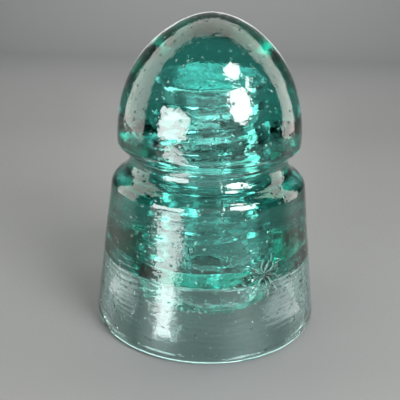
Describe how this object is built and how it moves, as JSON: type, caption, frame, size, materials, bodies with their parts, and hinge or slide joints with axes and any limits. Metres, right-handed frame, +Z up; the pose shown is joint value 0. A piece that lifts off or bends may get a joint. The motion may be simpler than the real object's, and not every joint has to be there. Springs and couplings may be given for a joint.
{
  "type": "pin-type glass insulator",
  "caption": "One-piece pressed glass pin insulator with domed crown, side wire groove, flared skirt, inner petticoat and threaded pinhole.",
  "frame": {"origin": "centre of the resting rim, on the plane that the skirt's rim stands on", "axes": "+Z up the axis of symmetry, from the resting rim to the crown; the two mould seams lie 8 degrees off the -Y and +Y directions"},
  "size_m": [0.0758, 0.0758, 0.1],
  "materials": {
    "glass": "transparent aqua pressed glass, fire-polished and glossy, with seed bubbles, chill wrinkles and faint mould seams"
  },
  "bodies": {
    "root": {"glass_shell": "glass"}
  },
  "joints": []
}
